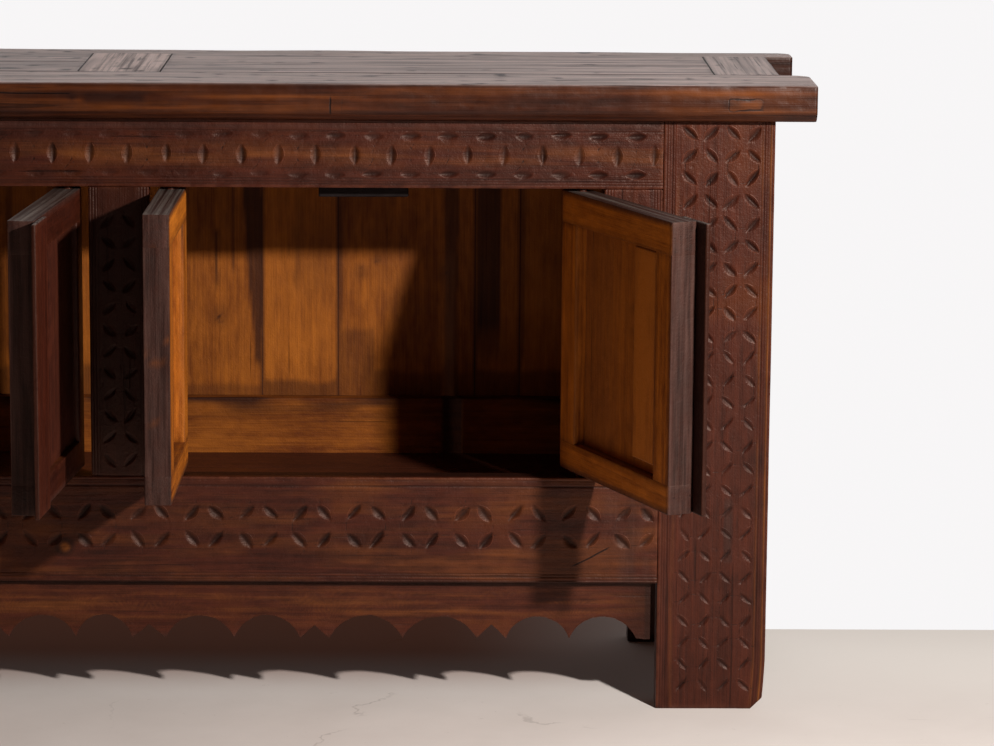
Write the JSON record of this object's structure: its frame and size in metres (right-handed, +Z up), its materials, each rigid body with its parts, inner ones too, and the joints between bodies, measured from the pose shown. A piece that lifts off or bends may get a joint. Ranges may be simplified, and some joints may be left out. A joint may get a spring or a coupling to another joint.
{
  "type": "low carved cabinet",
  "caption": "Low, long chip-carved plank cabinet on post legs, with a scalloped apron, horned table top and framed doors on wooden pintles.",
  "frame": {"origin": "on the floor, at the middle of the box round the cabinet with its doors open as stored", "axes": "+X to the right of someone facing the cabinet, +Y towards its back, +Z up"},
  "size_m": [1.836, 0.716, 0.85],
  "materials": {
    "stained_wood": "dark red-brown stain, worn wax",
    "top_wood": "brown wax with a grey sheen",
    "inner_wood": "raw aged pine",
    "door_wood": "aged pine, stained outside and raw inside",
    "stop_wood": "blackened wood"
  },
  "bodies": {
    "carcass": {"apron": "stained_wood", "back_boards_left": "inner_wood", "back_boards_right": "inner_wood", "door_stops": "stop_wood", "floor_bearers": "inner_wood", "floor_board_1": "inner_wood", "floor_board_2": "inner_wood", "floor_board_3": "inner_wood", "front_bottom_rail": "stained_wood", "front_top_rail": "stained_wood", "post_front_left": "stained_wood", "post_front_right": "stained_wood", "post_rear_left": "stained_wood", "post_rear_right": "stained_wood", "rear_bottom_rail": "inner_wood", "rear_top_rail": "inner_wood", "side_bottom_rail_left": "stained_wood", "side_bottom_rail_right": "stained_wood", "side_panel_left": "inner_wood", "side_panel_right": "inner_wood", "side_top_rail_left": "stained_wood", "side_top_rail_right": "stained_wood", "stile_center": "stained_wood", "stile_left": "stained_wood", "stile_right": "stained_wood", "top_board_left_1": "top_wood", "top_board_left_2": "top_wood", "top_board_right_1": "top_wood", "top_board_right_2": "top_wood", "top_clamp_center": "top_wood", "top_clamp_left": "top_wood", "top_clamp_right": "top_wood", "top_front_plank": "top_wood", "top_rear_plank": "top_wood"},
    "left_bay_left_door": {"door_1_bottom_rail": "door_wood", "door_1_hinge_stile": "door_wood", "door_1_meeting_stile": "door_wood", "door_1_panel": "inner_wood", "door_1_top_rail": "door_wood"},
    "left_bay_right_door": {"door_2_batten": "inner_wood", "door_2_bottom_rail": "door_wood", "door_2_hinge_stile": "door_wood", "door_2_lip": "door_wood", "door_2_meeting_stile": "door_wood", "door_2_panel": "inner_wood", "door_2_top_rail": "door_wood"},
    "right_bay_left_door": {"door_3_bottom_rail": "door_wood", "door_3_hinge_stile": "door_wood", "door_3_meeting_stile": "door_wood", "door_3_panel": "inner_wood", "door_3_top_rail": "door_wood"},
    "right_bay_right_door": {"door_4_batten": "inner_wood", "door_4_bottom_rail": "door_wood", "door_4_hinge_stile": "door_wood", "door_4_lip": "door_wood", "door_4_meeting_stile": "door_wood", "door_4_panel": "inner_wood", "door_4_top_rail": "door_wood"}
  },
  "joints": [
    {"name": "left_bay_left_door_swing", "type": "hinge", "parent": "carcass", "child": "left_bay_left_door", "pos_m": [-0.613, -0.028, 0.3185], "axis": [0, 0, -1], "range_deg": [-110, 8]},
    {"name": "left_bay_right_door_swing", "type": "hinge", "parent": "carcass", "child": "left_bay_right_door", "pos_m": [-0.068, -0.028, 0.3185], "axis": [0, 0, 1], "range_deg": [-84.5, 15.5]},
    {"name": "right_bay_left_door_swing", "type": "hinge", "parent": "carcass", "child": "right_bay_left_door", "pos_m": [0.068, -0.028, 0.3185], "axis": [0, 0, -1], "range_deg": [-91, 9]},
    {"name": "right_bay_right_door_swing", "type": "hinge", "parent": "carcass", "child": "right_bay_right_door", "pos_m": [0.613, -0.028, 0.3185], "axis": [0, 0, 1], "range_deg": [-113, 5]}
  ]
}
